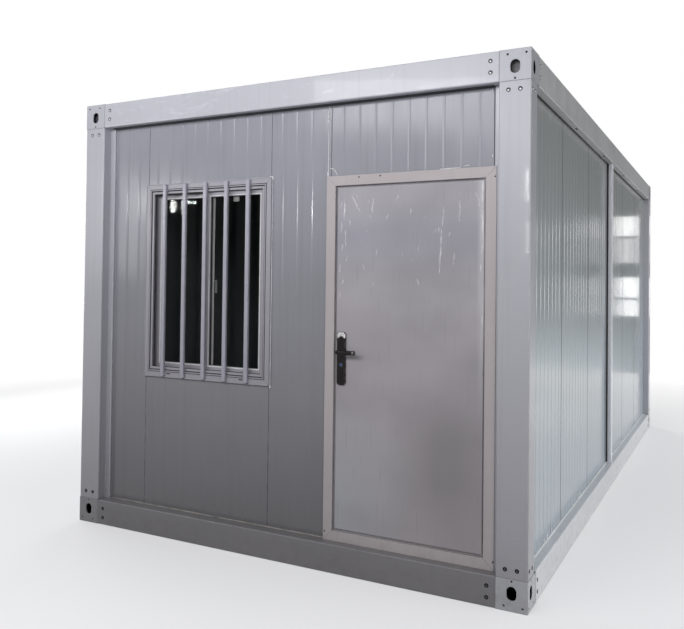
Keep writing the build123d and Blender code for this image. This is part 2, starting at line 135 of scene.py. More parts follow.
# Sealant: beads along the walls, runs on the right wall as place and length, and smears as
# the x and height of both ends and the thickness, over the door frame's or window's corner
bead_sides = 8
bead_radius = 0.0045
bead_lift = 0.002
bead_rise = 0.6 * bead_radius
bead_taper = 0.35
thin_lift = 0.001
drip_places = ((-2.378, 0.075), (-2.180, 0.085), (-2.290, 0.04), (-1.320, 0.065), (-1.245, 0.04))
drip_radius = 0.0035
drip_share = 0.8
drip_lean = 0.006
window_smears = ((-0.02, 0.002, 0.004, 0.003, 0.005), (0.002, -0.02, 0.003, 0.003, 0.005))
sill_smear = (0, 0.006, 0.001, -0.014, 0.004)
door_smears = (
    (1.000, 0.004, 1.115, 0.006, 0.0035), (1.130, 0.012, 1.165, 0.016, 0.003),
    (0.335, 0.050, 0.362, 0.044, 0.002), (0.362, 0.044, 0.386, 0.008, 0.002),
    (1.284, 0.392, 1.284, 0.404, 0.004), (1.287, 0.050, 1.287, 0.064, 0.0035),
)

# Drain slots under the side beams, and in the foot of the window frame
slot_profile = ((1.0, -0.001), (1.0, 0.0003), (0.9, 0.0007), (0.7, 0.0003))
slot_segments = 8
drain_first = 1.353
drain_pitch = 1.170
drain_count = 4
drain_offset = 0.004
drain_size = (0.044, 0.013)
window_drain_shares = (0.21, 0.79)
window_drain_rise = 0.024
window_drain_size = (0.03, 0.006)

# Window. Its rims hold inset, width, both depths behind the face, and edge radius.
window_face_width = 0.044
sash_member = 0.062
meeting_stile = 0.040
mitre_width = 0.0014
mitre_proud = 0.0003
lip_groove = 0.006
lip_width = 0.014
lip_inset = window_face_width + lip_groove
profile_rims = (
    (0.0, 0.005, -0.0025, 0.001, 0.001),
    (window_face_width - 0.007, 0.007, -0.003, 0.001, 0.0012),
    (lip_inset, lip_width, 0.003, 0.020, 0.001),
)
seal_rims = (
    (window_face_width - 0.011, 0.0045, -0.0006, 0.001, 0.0003),
    (window_face_width, lip_groove + 0.001, 0.0045, 0.019, 0.0003),
    (lip_inset + lip_width - 0.001, 0.004, 0.016, 0.0215, 0.0006),
)
glazing_rim = (-0.009, 0.008, -0.002, 0.001, 0.001)
outer_seal_rim = (0.0, 0.003, -0.002, 0.0005, 0.0008)
inner_seal_rim = (0.0, 0.003, -0.0005, 0.002, 0.0008)
interlock_ribs = ((0.001, 0.015), (0.010, 0.007))
interlock_thickness = 0.003
interlock_inset = 0.02
stop_x_span = (-0.360, -0.318)
stop_rises = (-0.034, 0.04)
stop_proud = 0.012
stop_bevel = 0.004
bar_count = 5
bar_width = 0.028
bar_screw_inset = 0.022
screw_profile = ((0, -0.001), (1.0, -0.001), (1.0, 0.0006), (0.85, 0.0016), (0.5, 0.0021), (0.3, 0.0020))
screw_profile += ((0, 0.0009),)

# Door frame: screws in its face, and the seal behind its edge
door_face_width = 0.056
door_seal_depth = 0.016
door_seal_rim = (door_face_width - 0.008, 0.006, -0.0005, 0.0042, 0.0012)
door_screws = (
    (0.53, door_high.z - 0.013), (0.66, door_high.z - 0.013), (door_high.x - 0.007, door_high.z - 0.053),
    (door_low.x + 0.01, door_low.z + 0.048), (door_high.x - 0.005, door_low.z + 0.045),
)

# Scratches on the door leaf: x, z, length and lean of each
scratches = (
    (0.508, 2.065, 0.125, -0.52), (0.613, 2.050, 0.090, 0.10), (0.758, 2.085, 0.050, 0.25),
    (1.023, 1.975, 0.115, 0.06), (1.010, 1.790, 0.240, 0.03), (1.115, 2.000, 0.115, 0.02),
    (1.084, 1.750, 0.075, 0.07), (0.885, 1.626, 0.048, -0.45), (1.218, 2.045, 0.060, -0.15),
    (1.205, 2.085, 0.035, -0.50), (0.445, 1.870, 0.100, -0.04), (0.436, 2.030, 0.130, 0.01),
    (0.640, 1.790, 0.045, 0.05), (0.560, 1.705, 0.050, -0.60), (1.000, 1.905, 0.040, 0.02),
    (0.980, 1.900, 0.025, 0.40), (1.235, 1.985, 0.045, 0.12), (0.700, 1.985, 0.030, 0.30),
    (1.060, 1.880, 0.030, 0.15), (0.840, 2.010, 0.035, -0.10), (1.240, 1.430, 0.055, -0.10),
    (0.470, 1.960, 0.045, -0.25), (0.455, 1.760, 0.050, 0.05), (0.415, 2.060, 0.050, 0.10),
    (0.418, 1.930, 0.070, 0.05), (0.425, 1.820, 0.050, -0.10), (0.412, 1.700, 0.060, 0.00),
    (0.430, 1.620, 0.040, 0.20), (0.415, 1.550, 0.050, 0.00), (1.236, 2.100, 0.120, 0.02),
    (1.238, 1.930, 0.100, -0.03), (1.235, 1.800, 0.060, 0.05), (1.231, 1.700, 0.050, -0.10),
)
scratch_width = 0.0017
scratch_step = 0.012
scratch_proud = 0.0003
scratch_stray = 0.0022

# The marks of one scratch: offset aside, share along it, and shares of its length and width
scratch_marks = ((0, 0, 1.0, 1.0), (0.005, 0.1, 0.45, 0.5), (-0.006, -0.2, 0.3, 0.4))

# Door handle: fields and caps of the plates, roses, lock, grips and their tips
plate_margin = 0.007
panel_clip = 0.012
field_drop = 0.016
field_rise = 0.0034
cap_half = 0.021
cap_inset = 0.002
cap_spread = 0.005
cap_rise = 0.0012
rose_profile = ((0.0115, -0.001), (0.019, -0.001), (0.019, 0.003), (0.0165, 0.006), (0.0115, 0.006))
rose_profile += (rose_profile[0],)
lock_ring = ((0.0098, -0.001), (0.0145, -0.001), (0.0145, 0.003), (0.0125, 0.0045), (0.0098, 0.0045))
lock_ring += (lock_ring[0],)
lock_cap = ((0, -0.0005), (0.0085, -0.0005), (0.0085, 0.0012), (0.0070, 0.0020), (0, 0.0020))
pin_profile = ((0, 0), (0.0045, 0), (0.0045, 0.003), (0, 0.0035))
pin_rise = 0.043
keyhole_proud = 0.002
keyhole_size = (0.011, 0.0024)
grip_radius = 0.0135
grip_flatness = 0.72
grip_depth = 0.007
grip_profile = ((0, -0.094), (0.72, -0.094), (0.86, -0.090), (0.90, -0.060), (0.94, -0.020), (1.0, -0.006))
grip_profile += ((0.94, -0.001), (0.70, 0.0008), (0, 0.0008))
tip_profile = ((0, -0.016), (0.98, -0.016), (1.04, -0.014), (1.04, -0.008), (0.86, -0.001), (0.55, 0.0022))
tip_profile += ((0, 0.003),)

# Hinge screws on the room side of the leaf
hinge_height = 0.1
hinge_plate_middle = 0.0225
hinge_plate_proud = 0.003
hinge_screw_rises = (-0.032, 0.0, 0.032)

# Roof screws and gutter outlets
roof_rib_pitch = 0.47
roof_end = 0.03
roof_screw_rows = (-1.32, -0.66, 0.0, 0.66, 1.32)
washer_profile = ((0, -0.001), (0.009, -0.001), (0.009, 0.001), (0.0055, 0.0016), (0.0055, 0.005))
washer_profile += ((0.0042, 0.0058), (0, 0.006))
gutter_floor = house_height - 0.061
outlet_radius = 0.032
outlet_inset = 0.0925
outlet_from_fitting = 0.09
outlet_profile = ((0, -0.001), (1.3, -0.001), (1.3, 0.002), (1.05, 0.004), (0.95, 0.004), (0.9, 0.001))
outlet_profile += ((0, 0.0008),)

# Lamps: name, place, target, size, power, and whether gloss shows them
lamps = (
    ("key", (0.9, -6.4, 3.2), (0.3, -2.9, 2.9), (2.6, 1.0), 60, False),
    ("fill", (-1.6, -6.4, 3.2), (-0.8, -2.9, 2.9), (1.6, 1.0), 40, False),
    ("flutes", (0.86, -8.4, 3.5), (0.8, -2.9, 2.4), (1.1, 1.0), 17, True),
    ("strip", (-3.9, -5.9, 2.3), (-1.1, -2.9, 2.0), (0.2, 1.2), 3.2, True),
    ("strip_right", (4.4, -7.8, 2.5), (1.0, -2.9, 2.0), (0.6, 2.0), 10, True),
    ("over", (-1.4, -8.4, 4.0), (0.8, -2.9, 2.5), (2.4, 0.55), 26, True),
    ("post_low", (0.195, -8.4, 2.2), (1.487, -2.98, 1.85), (0.03, 0.4), 1.5, True),
    ("post_high", (0.195, -8.4, 2.82), (1.487, -2.98, 2.1), (0.03, 0.35), 1.3, True),
    ("glint_wide", (-3.59, -6.2, 2.53), (-0.84, -2.85, 2.10), (0.08, 0.16), 6.0, True),
    ("glint_narrow", (-3.50, -6.2, 2.515), (-0.784, -2.85, 2.10), (0.044, 0.16), 3.5, True),
    ("glint_level", (-3.371, -6.2, 2.57), (-0.723, -2.85, 2.13), (0.08, 0.043), 2.5, True),
    ("glint_end", (-3.291, -6.2, 2.567), (-0.68, -2.85, 2.13), (0.048, 0.041), 1.5, True),
    ("side", (5.0, -2.6, 1.4), (1.4, -1.6, 0.9), (3.0, 1.2), 62, False),
    ("side_rear", (5.0, 2.6, 1.4), (1.4, 1.6, 0.9), (3.0, 1.2), 80, False),
    ("left", (-6.5, 0.0, 2.2), (-1.4, 0.0, 1.2), (5.0, 2.0), 150, True),
    ("corner", (2.4, -5.0, 0.5), (0.5, -2.9, 0.25), (0.8, 0.6), 8, False),
)
back_lamp = ("back", (-4.0, 7.5, 4.5), (0.0, 2.0, 1.4), (5.0, 3.0), 240, True)

# Small lamps behind the right wall, as lit windows: low edge, high edge and glow of each row,
# and middle, width and share of each column
window_rows = ((1.13, 1.41, 1.9), (1.45, 1.80, 2.2), (2.05, 2.48, 1.1), (2.52, 2.86, 2.2))
window_columns = ((2.14, 0.42, 1.2), (6.7, 3.2, 1.2))
window_wall_y = 7.5


def tint(red, green, blue):
    """A screen colour, from 0 to 255, as a linear value."""
    shares = [value / 255 for value in (red, green, blue)]
    return (*[s / 12.92 if s <= 0.04045 else ((s + 0.055) / 1.055) ** 2.4 for s in shares], 1.0)


def add_node(tree, kind, sockets=None, **settings):
    """A shader node with its settings and sockets."""
    made = tree.nodes.new("ShaderNode" + kind)
    for name, value in settings.items():
        setattr(made, name, value)
    for name, value in (sockets or {}).items():
        socket = made.inputs[name.replace("_", " ") if isinstance(name, str) else name]
        if isinstance(value, bpy.types.NodeSocket):
            tree.links.new(value, socket)
        else:
            socket.default_value = value
    return made


def seen_rays(tree):
    """A mask of the rays from the camera, gloss and glass."""
    path = add_node(tree, "LightPath").outputs
    seen = path["Is Camera Ray"]
    for ray in ("Is Glossy Ray", "Is Transmission Ray"):
        seen = add_node(tree, "Math", {0: seen, 1: path[ray]}, operation="MAXIMUM").outputs["Value"]
    return seen


# The materials made so far, by name
looks = {}


class Look:
    """A material made of shader nodes, on the cabin's own coordinates."""

    def __init__(self, name, colour, **sockets):
        looks[name] = material = bpy.data.materials.new(name)
        material.use_nodes = True
        self.tree = material.node_tree
        self.tree.nodes.clear()
        self.shader = self.node("BsdfPrincipled", sockets)
        self.output = self.node("OutputMaterial", {"Surface": self.shader.outputs["BSDF"]})
        self.place = self.node("TexCoord").outputs["Object"]
        self.colour = tint(*colour)
        self.rounded = None

    def node(self, kind, sockets=None, **settings):
        return add_node(self.tree, kind, sockets, **settings)

    def set(self, **sockets):
        """Feeds the shader's own sockets."""
        for name, value in sockets.items():
            self.tree.links.new(value, self.shader.inputs[name.replace("_", " ")])

    def noise(self, size, detail=3.0, distortion=0.0, turn=0.0):
        """Cloudy noise, of one size or of a size along each axis."""
        sizes = size if isinstance(size, tuple) else (size, size, size)
        scale = [1 / length for length in sizes]
        mapping = {"Vector": self.place, "Rotation": (0, turn, 0), "Scale": scale}
        place = self.node("Mapping", mapping).outputs["Vector"]
        sockets = {"Vector": place, "Scale": 1.0, "Detail": detail, "Distortion": distortion}
        return self.node("TexNoise", sockets).outputs["Fac"]

    def band(self, value, start, end, low=0.0, high=1.0):
        """A value carried from one range to another."""
        sockets = {"Value": value, "From Min": start, "From Max": end, "To Min": low, "To Max": high}
        return self.node("MapRange", sockets).outputs["Result"]

    def patches(self, size, start, end, amount=1.0, *noise_settings):
        """A mask of noisy patches, up to an amount."""
        return self.band(self.noise(size, *noise_settings), start, end, 0.0, amount)

    def hump(self, value, start, rise, fall, end):
        """A mask that is full between rise and fall."""
        return self.times(self.band(value, start, rise), self.band(value, end, fall))

    def math(self, operation, first, second):
        return self.node("Math", {0: first, 1: second}, operation=operation).outputs["Value"]

    def times(self, first, second):
        return self.math("MULTIPLY", first, second)

    def mix(self, amount, first, second):
        return self.node("Mix", {0: amount, 6: first, 7: second}, data_type="RGBA").outputs[2]

    def over(self, mask, colour):
        """Lays a colour over those so far."""
        self.colour = self.mix(mask, self.colour, tint(*colour))

    def along(self, axis):
        return self.node("SeparateXYZ", {"Vector": self.place}).outputs[axis]

    def inside(self):
        """A mask of the corner fittings' hollow insides."""
        mask = self.band(self.along("Z"), *[house_height - depth for depth in inside_shade_depths])
        for axis, face, depths in (("X", half_width, inside_shade_depths), ("Y", half_length, end_wall_depths)):
            away = self.math("ABSOLUTE", self.along(axis), 0.0)
            mask = self.times(mask, self.band(away, *[face - depth for depth in depths]))
        return mask

    def edges(self, radius):
        """A mask of bent edges, where a rounded normal leaves the true one."""
        self.rounded = self.node("Bevel", {"Radius": radius}, samples=6).outputs["Normal"]
        both = {0: self.rounded, 1: self.node("NewGeometry").outputs["Normal"]}
        cosine = self.node("VectorMath", both, operation="DOT_PRODUCT").outputs["Value"]
        return self.band(cosine, 0.995, 0.9)

    def finish(self, roughness, relief, depth):
        """Sets the colour, the gloss and a small relief."""
        self.set(Base_Color=self.colour, Roughness=roughness)
        sockets = {"Height": relief, "Distance": depth}
        if self.rounded:
            sockets["Normal"] = self.rounded
        normal = self.node("Bump", sockets).outputs["Normal"]
        self.set(Normal=normal, Coat_Normal=normal)


def painted(
    name, low, high, gloss=(0.28, 0.42), streak=0.35, grime=0.25, scuff=0.3, wave=0.0012,
    bend=0.006, far=None, hollow=False, **sockets
):
    """Sheet paint: paler above as painted light, streaked, grimy at the foot and rubbed on its edges."""
    look = Look(name, low, **sockets)
    height = look.along("Z")
    # Paler towards the top and darker low: painted light and shade.
    look.over(look.band(height, 0.1, house_height), high)
    # Darker towards the front-left corner, turning to the far colour away from it: painted shade.
    if far:
        corner = look.math("ADD", look.along("X"), look.along("Y"))
        look.over(look.band(corner, -half_width - half_length, half_length - half_width), far)
    shade = [value * 0.72 for value in low]
    light = [min(255, value * 1.09) for value in high]
    look.over(look.patches((0.8, 0.8, 0.5), 0.42, 0.75, streak), shade)
    look.over(look.patches((0.03, 0.03, 1.3), 0.52, 0.8, streak, 5.0), shade)
    look.over(look.patches((0.22, 0.22, 0.05), 0.58, 0.66, scuff, 6.0, 1.2), light)
    specks = look.patches(0.05, 0.45, 0.75, grime, 6.0)
    look.over(look.times(look.band(height, 0.32, 0.0), specks), (86, 80, 74))
    rubbed = look.times(look.edges(bend), look.patches(0.06, 0.4, 0.65))
    look.over(look.times(rubbed, 0.5), light)
    # Near black inside the corner fittings: painted shade.
    if hollow:
        look.over(look.inside(), (14, 14, 15))
    peel = look.times(look.noise(0.004, 1.0), 0.006)
    relief = look.math("ADD", look.noise((0.35, 0.35, 0.5), 1.0), peel)
    look.finish(look.band(look.noise((0.15, 0.15, 0.3), 4.0), 0.3, 0.7, *gloss), relief, wave)


def side_skin(name):
    """The glossy coil coat of the long walls, with fine upright lines, darker above as painted shade."""
    look = Look(name, (168, 180, 190), Coat_Weight=0.25, Coat_Roughness=0.08)
    height = look.along("Z")
    shade = (126, 134, 138)
    # Darker towards the top and paler low: painted shade and light.
    look.over(look.band(height, 0.2, house_height), (148, 151, 149))
    lines = look.noise((0.016, 0.016, 9.0), 2.0)
    look.over(look.band(lines, 0.5, 0.72, 0.0, 0.2), shade)
    clouds = look.patches((0.9, 0.9, 0.7), 0.4, 0.75, 0.15)
    look.over(clouds, shade)
    dust = look.times(look.band(height, 0.6, 0.1), look.noise((0.08, 0.08, 0.2), 5.0))
    look.over(look.times(dust, 0.35), (176, 178, 176))
    relief = look.math("ADD", look.times(lines, 0.04), look.noise((0.5, 0.5, 0.8), 1.0))
    look.finish(look.band(clouds, 0.0, 0.15, 0.16, 0.26), relief, 0.0010)


def leaf_paint(name):
    """The door leaf's satin grey, with painted light, reflections and edge highlight, flecks above and faint
    drags below.
    """
    look = Look(name, (150, 143, 146))
    height, across = look.along("Z"), look.along("X")
    shade = (118, 116, 121)
    # Paler towards the top: painted light.
    look.over(look.band(height, 0.2, 2.15), (167, 164, 171))
    # A bluish band high up, a dark patch low on the right and a pale bluish field low on the left: painted
    # reflections.
    look.over(look.times(look.hump(height, 1.65, 1.85, 1.92, 2.06), 0.5), (142, 142, 155))
    dark_reflection = look.times(look.hump(across, 0.70, 1.0, 1.1, 1.5), look.hump(height, 0.2, 0.55, 0.8, 1.15))
    look.over(look.times(dark_reflection, 0.65), (110, 108, 111))
    pale_reflection = look.times(look.band(across, 0.95, 0.45), look.band(height, 1.0, 0.4))
    look.over(look.times(pale_reflection, 0.6), (156, 161, 167))
    clouds = look.patches((0.45, 0.45, 0.35), 0.4, 0.75, 0.4, 2.0)
    look.over(clouds, shade)
    look.over(look.patches((0.012, 0.05, 0.22), 0.6, 0.78, 0.4), shade)
    marks = look.patches((0.006, 0.05, 0.07), 0.69, 0.73, 1.0, 3.0, 0.4, 0.12)
    flecks = look.times(marks, look.patches((0.16, 0.16, 0.2), 0.5, 0.62, 1.0, 2.0))
    flecks = look.times(flecks, look.band(height, 1.45, 1.95))
    look.over(flecks, (228, 228, 234))
    # A pale band down the right edge, broken up by noise: painted highlight.
    right = look.times(look.band(across, 1.208, 1.245), look.band(height, 0.9, 1.8))
    highlight_breakup = look.band(look.noise((0.02, 0.05, 0.3)), 0.3, 0.6, 0.3, 0.75)
    look.over(look.times(right, highlight_breakup), (214, 212, 216))
    # Paler bent edges: wear, partly a painted highlight.
    rubbed = look.times(look.edges(0.006), look.patches((0.03, 0.03, 0.2), 0.35, 0.6))
    look.over(look.times(rubbed, 0.7), (214, 213, 218))
    relief = look.math("ADD", look.noise((0.4, 0.4, 0.5), 1.0), look.times(flecks, -0.2))
    look.finish(look.band(clouds, 0.0, 0.5, 0.3, 0.45), relief, 0.001)


def metal(name, colour, worn, roughness, metallic=1.0, size=0.02):
    """Plated metal with worn edges and cloudy tone and gloss."""
    look = Look(name, colour, Metallic=metallic)
    clouds = look.noise(size, 4.0)
    look.over(look.band(clouds, 0.35, 0.75), [value * 0.7 for value in colour])
    look.over(look.times(look.edges(0.0015), look.band(clouds, 0.4, 0.55)), worn)
    look.finish(look.band(clouds, 0.3, 0.7, *roughness), look.noise(size / 8, 2.0), 0.0002)


def soft(name, colour, dust, roughness, size=0.01, depth=0.0006, **sockets):
    """Dusty and slightly uneven rubber, sealant or plastic."""
    look = Look(name, colour, **sockets)
    clouds = look.noise(size, 5.0)
    look.over(look.band(clouds, 0.45, 0.8), dust)
    look.finish(look.band(clouds, 0.2, 0.8, *roughness), clouds, depth)


def bolt_steel(name):
    """Zinc of the frame's bolts, bright above and dark near the ground: painted light and shade."""
    look = Look(name, (236, 236, 240), Metallic=0.5)
    specks = look.noise(0.004, 4.0)
    look.over(look.band(specks, 0.4, 0.7), (200, 200, 204))
    # Dark near the ground, bright above: painted shade and light.
    look.over(look.band(look.along("Z"), 2.3, 0.4), (66, 65, 68))
    look.finish(look.band(specks, 0.3, 0.7, 0.25, 0.45), specks, 0.0001)


def pane_glass(name):
    """Clear glass, as a thin dark film with faint dust."""
    look = Look(name, (8, 9, 10), Alpha=0.25, IOR=1.45, Specular_IOR_Level=0.16)
    film = look.noise((0.2, 0.2, 0.3), 4.0)
    look.over(look.band(film, 0.35, 0.8), (20, 21, 22))
    look.finish(look.band(film, 0.62, 0.85, 0.0, 0.01), look.noise((0.3, 0.3, 0.4), 1.0), 0.0002)


def floor_sheet(name):
    """Grey vinyl with a faint plank grain."""
    look = Look(name, (150, 142, 132))
    grain = look.noise((0.02, 0.6, 0.02), 6.0, 0.6)
    look.over(look.band(grain, 0.35, 0.7), (112, 104, 96))
    look.over(look.patches((0.15, 3.0, 0.15), 0.4, 0.6, 0.4, 1.0), (132, 128, 122))
    look.finish(look.band(grain, 0.3, 0.7, 0.45, 0.65), grain, 0.0004)


def roof_coat(name):
    """The roof's grey coat, with water rings and grit."""
    look = Look(name, (176, 178, 182))
    pools = look.noise((0.7, 0.5, 1.0), 4.0, 0.2)
    look.over(look.band(pools, 0.3, 0.7), (160, 160, 161))
    rings = look.math("PINGPONG", look.times(pools, 4.0), 1.0)
    look.over(look.band(rings, 0.85, 1.0, 0.0, 0.12), (132, 128, 120))
    grit = look.noise(0.01, 4.0)
    look.over(look.band(grit, 0.6, 0.8, 0.0, 0.4), (104, 100, 94))
    look.finish(look.band(pools, 0.3, 0.7, 0.4, 0.6), grit, 0.0004)


gloss_coat = {"gloss": (0.18, 0.28), "streak": 0.1, "scuff": 0.02}
gloss_coat |= {"Coat_Weight": 0.35, "Coat_Roughness": 0.04}
panel_coat = {"gloss": (0.12, 0.19), "streak": 0.12, "scuff": 0.0}
frame_tones = ((143, 142, 148), (186, 186, 195))
# The front frame and top beam run darker towards the ground than the rear frame's plain tone: painted shade.
painted("frame_paint", *frame_tones, **gloss_coat)
painted("top_beam_paint", (150, 150, 156), (192, 192, 201), **gloss_coat | {"scuff": 0.42})
painted("side_top_beam_paint", (176, 177, 178), (176, 177, 178), scuff=0.2, wave=0.004)
# Two copies of one beam paint: the front's darker one is painted shade, the sides' near-white one painted
# light.
painted("front_low_beam_paint", (112, 110, 112), (190, 190, 200), scuff=0.01, streak=0.1)
painted("side_low_beam_paint", (222, 225, 229), (224, 227, 231), scuff=0.05, streak=0.1)
# Paler than the frame paint: painted light on the mid posts.
painted("mid_post_paint", (222, 224, 230), (224, 226, 232), **gloss_coat)
painted("rear_frame_paint", (192, 193, 199), (200, 201, 208), **gloss_coat)
# The lower fittings: darker towards the front-left corner and black inside, both painted shade.
painted(
    "low_corner_paint", (118, 117, 120), (180, 180, 190), far=(190, 191, 197), hollow=True, **gloss_coat
)
# The upper fittings: black inside as painted shade.
painted("high_corner_paint", *frame_tones, hollow=True, **gloss_coat)
# The wall skins darken towards the ground, the front's most: painted shade.
painted("rear_panel_skin", (134, 134, 141), (152, 153, 162), **panel_coat)
painted("front_panel_skin", (98, 97, 100), (154, 155, 165), **panel_coat)
side_skin("side_panel_skin")
painted("joist_steel", (138, 140, 142), (150, 152, 154), gloss=(0.45, 0.6), Metallic=0.6)
painted("ceiling_skin", (220, 220, 220), (222, 222, 222), streak=0.1, grime=0.0)
painted(
    "window_profile", (134, 131, 137), (164, 162, 171), gloss=(0.3, 0.4), scuff=0.04, streak=0.12,
    wave=0.0004, bend=0.003
)
painted(
    "bar_paint", (140, 138, 148), (176, 175, 188), gloss=(0.2, 0.32), scuff=0.04, streak=0.1,
    wave=0.0003, bend=0.004
)
painted(
    "door_frame_paint", (163, 156, 157), (181, 174, 177), scuff=0.06, streak=0.12, wave=0.0005, bend=0.003
)
leaf_paint("door_leaf_paint")
pane_glass("window_glass")
soft("latch_plastic", (250, 250, 248), (236, 235, 232), (0.2, 0.35), depth=0.0002)
soft("glazing_bead", (208, 207, 210), (188, 187, 190), (0.25, 0.4), 0.05, 0.0002)
metal("hinge_steel", (176, 176, 176), (210, 210, 210), (0.3, 0.5))
metal("handle_bronze", (34, 30, 31), (150, 146, 146), (0.14, 0.3), 0.8)
metal("plate_chrome", (206, 206, 208), (236, 236, 238), (0.12, 0.3))
metal("lock_metal", (104, 128, 158), (190, 200, 210), (0.25, 0.4))
soft("lock_cap_blue", (26, 66, 112), (52, 92, 134), (0.25, 0.4), 0.004, 0.0001)
floor_sheet("floor_sheet")
roof_coat("roof_skin")
# Grey for the plates in the upper fittings: painted light.
soft("lit_liner_grey", (122, 120, 124), (104, 102, 106), (0.4, 0.6), 0.03, 0.0003)
bolt_steel("frame_bolt_steel")
metal("bolt_zinc", (206, 206, 210), (232, 232, 234), (0.25, 0.45), 0.6, 0.006)
# Near black: painted shade for the bolt rings, keyholes, drain slots and the fittings' side plates; also the
# door frame's screws.
soft(
    "bolt_recess", (12, 12, 13), (30, 29, 29), (0.5, 0.7), 0.004, 0.0002, Specular_IOR_Level=0.1
)
soft("joint_shadow", (44, 47, 49), (66, 70, 72), (0.5, 0.7), 0.05, 0.0002)
soft("seam_shadow", (112, 111, 116), (84, 83, 87), (0.5, 0.7), 0.02, 0.0002)
soft("seal_rubber", (30, 30, 32), (62, 60, 60), (0.5, 0.75), 0.02)
# Grey sealant for the front wall's foot: a greyed copy of the white sealant as painted shade, with darker
# dust.
soft("shaded_front_sealant", (134, 131, 127), (84, 80, 76), (0.4, 0.6), 0.08)
soft("door_seal_rubber", (84, 82, 84), (104, 102, 103), (0.5, 0.7), 0.02)
metal("lever_tip_steel", (112, 110, 111), (180, 178, 178), (0.18, 0.35))
soft("white_sealant", (226, 228, 230), (196, 197, 198), (0.3, 0.5), 0.015)
# Near-white scratches: wear, partly a painted glint.
soft("scratch_and_glint", (254, 254, 255), (236, 236, 240), (0.25, 0.4), 0.01, 0.0002)
soft("outlet_plastic", (92, 94, 98), (70, 70, 70), (0.4, 0.6), 0.01)

# A CAD node takes the look of the first of these words that its name holds
look_words = (
    ("front_wall", "front_panel_skin"), ("rear_wall", "rear_panel_skin"), ("_wall_", "side_panel_skin"),
    ("front_top_beam", "top_beam_paint"), ("rear", "rear_frame_paint"), ("top_beam", "side_top_beam_paint"),
    ("front_bottom_beam", "front_low_beam_paint"), ("bottom_beam", "side_low_beam_paint"),
    ("mid_post", "mid_post_paint"), ("corner_post", "frame_paint"),
    ("lower_corner", "low_corner_paint"), ("upper_corner", "high_corner_paint"),
    ("floor_board", "floor_sheet"), ("floor_joists", "joist_steel"),
    ("ceiling", "ceiling_skin"), ("roof", "roof_skin"),
    ("glass", "window_glass"), ("latch", "latch_plastic"), ("bars", "bar_paint"),
    ("window", "window_profile"),
    ("hinges", "hinge_steel"), ("door_frame", "door_frame_paint"), ("door_leaf", "door_leaf_paint"),
    ("door_lock", "lock_metal"), ("door", "handle_bronze"),
)
for node_name, node_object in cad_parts.items():
    node_object.data.materials.clear()
    look_name = next(look for word, look in look_words if word in node_name)
    node_object.data.materials.append(looks[look_name])


def add_object(name, form, look):
    """A mesh form as an object of the scene."""
    mesh = bpy.data.meshes.new(name)
    form.to_mesh(mesh)
    form.free()
    mesh.materials.append(looks[look])
    made = bpy.data.objects.new(name, mesh)
    bpy.context.scene.collection.objects.link(made)
    return made


def add_piece(name, form, look, body="house"):
    """A mesh form as a smooth piece that rides on a body."""
    bmesh.ops.recalc_face_normals(form, faces=form.faces)
    piece = add_object(name, form, look)
    piece.data.shade_smooth()
    piece.data.set_sharp_from_angle(angle=math.radians(35))
    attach(piece, body)


def facing(place, normal):
    """A matrix at a place, with its Z axis along a normal."""
    return Matrix.Translation(place) @ Vector(normal).to_track_quat("Z", "Y").to_matrix().to_4x4()


def skin(form, rings):
    """Joins rings of points, where a ring of one point is a tip."""
    count = max(map(len, rings))
    for lower, upper in zip(rings, rings[1:]):
        for number in range(count):
            after = (number + 1) % count
            corners = [lower[number % len(lower)], lower[after % len(lower)]]
            corners += [upper[after % len(upper)], upper[number % len(upper)]]
            unique = list(dict.fromkeys(corners))
            if len(unique) > 2:
                form.faces.new(unique)


def ring(form, matrix, points):
    """Points of a form, carried to their place by a matrix."""
    return [form.verts.new(matrix @ Vector(point)) for point in points]


def closed_skin(form, rings):
    """Joins rings of points and closes both ends."""
    skin(form, rings)
    form.faces.new(rings[0][::-1])
    form.faces.new(rings[-1])


def lathe(form, matrix, profile, segments, radius=1.0):
    """A turned form about the matrix's Z axis."""
    rings = []
    for share, height in profile:
        angles = [2 * math.pi * number / segments for number in range(segments if share else 1)]
        size = share * radius
        rings.append(ring(form, matrix, [(size * math.cos(a), size * math.sin(a), height) for a in angles]))
    skin(form, rings)


def obround(form, matrix, length, width):
    """A slot-shaped form along the matrix's X axis."""
    straight = (length - width) / 2
    rings = []
    for share, height in slot_profile:
        radius = width / 2 * share
        points = []
        for end, first in ((1, -0.5), (-1, 0.5)):
            angles = [math.pi * (first + number / slot_segments) for number in range(slot_segments + 1)]
            points += [(end * straight + radius * math.cos(a), radius * math.sin(a), height) for a in angles]
        rings.append(ring(form, matrix, points))
    closed_skin(form, rings)


def clipped_panel(form, matrix, half_wide, half_high, rise):
    """A low panel with clipped corners and sloped sides."""
    rings = []
    for inset, height in ((0, -0.0005), (0, 0.2 * rise), (0.004, 0.9 * rise), (0.009, rise)):
        x, z, clip = half_wide - inset, half_high - inset, panel_clip
        outline = [(-x, clip - z), (clip - x, -z), (x - clip, -z), (x, clip - z)]
        outline += [(x, z - clip), (x - clip, z), (clip - x, z), (-x, z - clip)]
        rings.append(ring(form, matrix, [(a, b, height) for a, b in outline]))
    closed_skin(form, rings)


def slab(form, x_span, y_span, z_span, bevel=edge_break):
    """A box over a span of each axis, with its edges broken."""
    low, high = [Vector(corner) for corner in zip(x_span, y_span, z_span)]
    matrix = Matrix.Translation((low + high) / 2) @ Matrix.Diagonal((*(high - low), 1.0))
    made = bmesh.ops.create_cube(form, size=1.0, matrix=matrix)
    edges = {edge for vert in made["verts"] for edge in vert.link_edges}
    bmesh.ops.bevel(form, geom=list(edges), offset=bevel, segments=2, affect="EDGES", profile=0.6)


